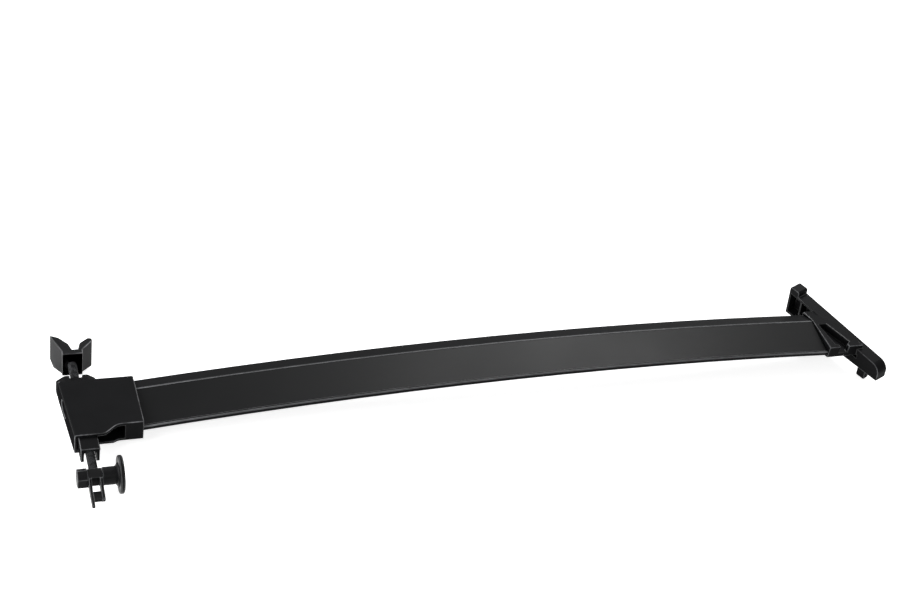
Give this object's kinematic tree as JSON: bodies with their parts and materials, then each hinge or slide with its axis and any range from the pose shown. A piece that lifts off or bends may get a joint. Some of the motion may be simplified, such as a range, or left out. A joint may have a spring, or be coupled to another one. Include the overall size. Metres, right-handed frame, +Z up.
{
  "type": "roof rack crossbar",
  "caption": "Arched roof rack crossbar with a clamp foot, a draw rod worked by a wing knob, a clevis with a round disc and a long angled end plate.",
  "frame": {"origin": "middle of the lower face of the foot pad, on the centre line of the bar", "axes": "+X along the bar from the clamp foot to the end plate, +Y along the vehicle from the clevis to the wing knob, +Z up"},
  "size_m": [1.0605, 0.2659, 0.0653],
  "materials": {
    "black_bar": "satin black powder coat",
    "black_inlay": "smooth satin rubber",
    "black_cast": "fine textured black powder coat",
    "black_rubber": "matt",
    "black_steel": "black coated steel",
    "black_plastic": "matt",
    "knob_plastic": "moulded satin",
    "zinc_steel": "plated"
  },
  "bodies": {
    "bar": {"crossbar_beam": "black_bar", "top_inlay": "black_inlay", "foot_housing": "black_cast", "foot_pad": "black_rubber", "foot_plug": "black_plastic", "foot_screws": "black_steel", "near_jaw": "black_cast", "far_jaw": "black_cast", "end_casting": "black_cast", "end_plug": "black_plastic", "end_screws": "black_steel", "rail_pad": "black_rubber", "near_tab": "black_cast", "far_tab": "black_cast"},
    "rod": {"draw_rod": "black_steel", "rod_stop": "black_steel"},
    "knob": {"wing_knob": "knob_plastic", "knob_nut": "zinc_steel"},
    "clevis": {"clevis": "black_steel"},
    "cross_bolt": {"cross_bolt": "black_steel", "spacer": "black_steel", "disc": "black_steel"}
  },
  "joints": [
    {"name": "rod_draw", "type": "slide", "parent": "bar", "child": "rod", "axis": [0, 1, 0], "range_m": [-0.03, 0.0234]},
    {"name": "knob_turn", "type": "hinge", "parent": "rod", "child": "knob", "pos_m": [-0.0231, 0.088, 0.023], "axis": [0, 1, 0], "continuous": true},
    {"name": "clevis_swivel", "type": "hinge", "parent": "rod", "child": "clevis", "pos_m": [-0.0231, -0.1, 0.023], "axis": [0, 1, 0], "range_deg": [-180, 180]},
    {"name": "cross_bolt_turn", "type": "hinge", "parent": "clevis", "child": "cross_bolt", "pos_m": [-0.0231, -0.1087, 0.023], "axis": [1, 0, 0], "continuous": true}
  ]
}
